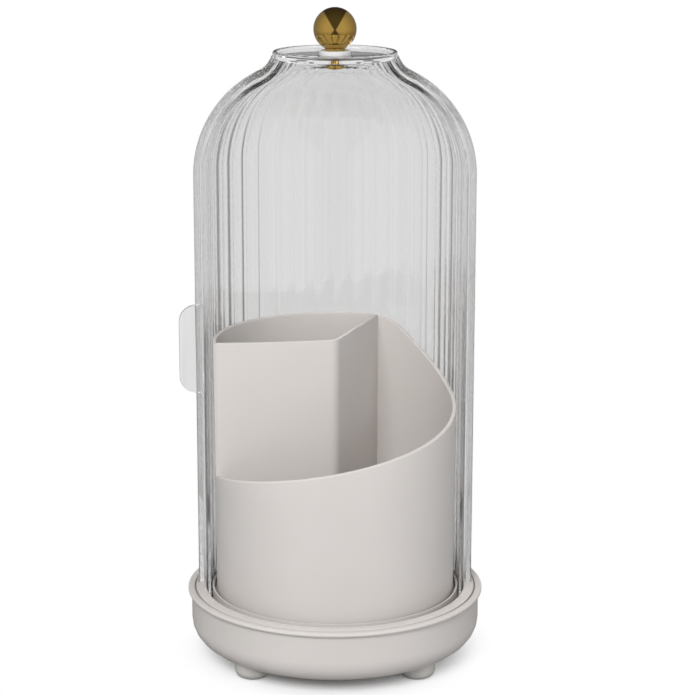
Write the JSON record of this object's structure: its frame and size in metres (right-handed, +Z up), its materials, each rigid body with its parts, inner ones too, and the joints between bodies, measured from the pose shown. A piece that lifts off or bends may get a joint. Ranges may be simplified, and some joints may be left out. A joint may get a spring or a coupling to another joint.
{
  "type": "toothbrush holder",
  "caption": "Round countertop toothbrush holder: a divided spiral-rim cup on a turntable in a tray, under a clear fluted dome with a nested turning door and a ball knob.",
  "frame": {"origin": "on the table under the turning axis", "axes": "+Z up along the turning axis, doorway towards -Y, +X to the right"},
  "size_m": [0.1426, 0.14, 0.3056],
  "materials": {
    "tray_plastic": "satin warm light greige",
    "clear_plastic": "clear",
    "knob_brass": "polished, slightly dark",
    "bearing_steel": "bright",
    "screw_steel": "zinc plated",
    "white_nylon": "natural nylon",
    "foot_plastic": "clear to milky"
  },
  "bodies": {
    "base": {"base_tray": "tray_plastic", "foot_back_right": "foot_plastic", "foot_back_left": "foot_plastic", "foot_front_left": "foot_plastic", "foot_front_right": "foot_plastic", "lower_race": "bearing_steel", "pivot_screw": "screw_steel", "pivot_washer": "white_nylon"},
    "bearing": {"ball_cage": "white_nylon", "bearing_balls": "bearing_steel"},
    "turntable": {"turntable": "tray_plastic", "upper_race": "bearing_steel", "cup": "tray_plastic"},
    "cover": {"cover_ring": "tray_plastic", "dome_shell": "clear_plastic", "knob_boss": "clear_plastic", "knob_collar": "knob_brass", "knob": "knob_brass", "knob_screw": "knob_brass", "pivot_bush": "white_nylon"},
    "door": {"door_shell": "clear_plastic", "door_handle": "clear_plastic"}
  },
  "joints": [
    {"name": "cup_spin", "type": "hinge", "parent": "base", "child": "turntable", "pos_m": [0, 0, 0], "axis": [0, 0, 1], "continuous": true},
    {"name": "cage_turn", "type": "hinge", "parent": "base", "child": "bearing", "pos_m": [0, 0, 0], "axis": [0, 0, 1], "continuous": true},
    {"name": "cover_lift", "type": "slide", "parent": "base", "child": "cover", "axis": [0, 0, 1], "range_m": [0, 0.13]},
    {"name": "door_turn", "type": "hinge", "parent": "cover", "child": "door", "pos_m": [0, 0, 0], "axis": [0, 0, 1], "range_deg": [0, 177]}
  ],
  "couplings": [
    {"joint": "cage_turn", "follows": "cup_spin", "ratio": 0.5}
  ]
}
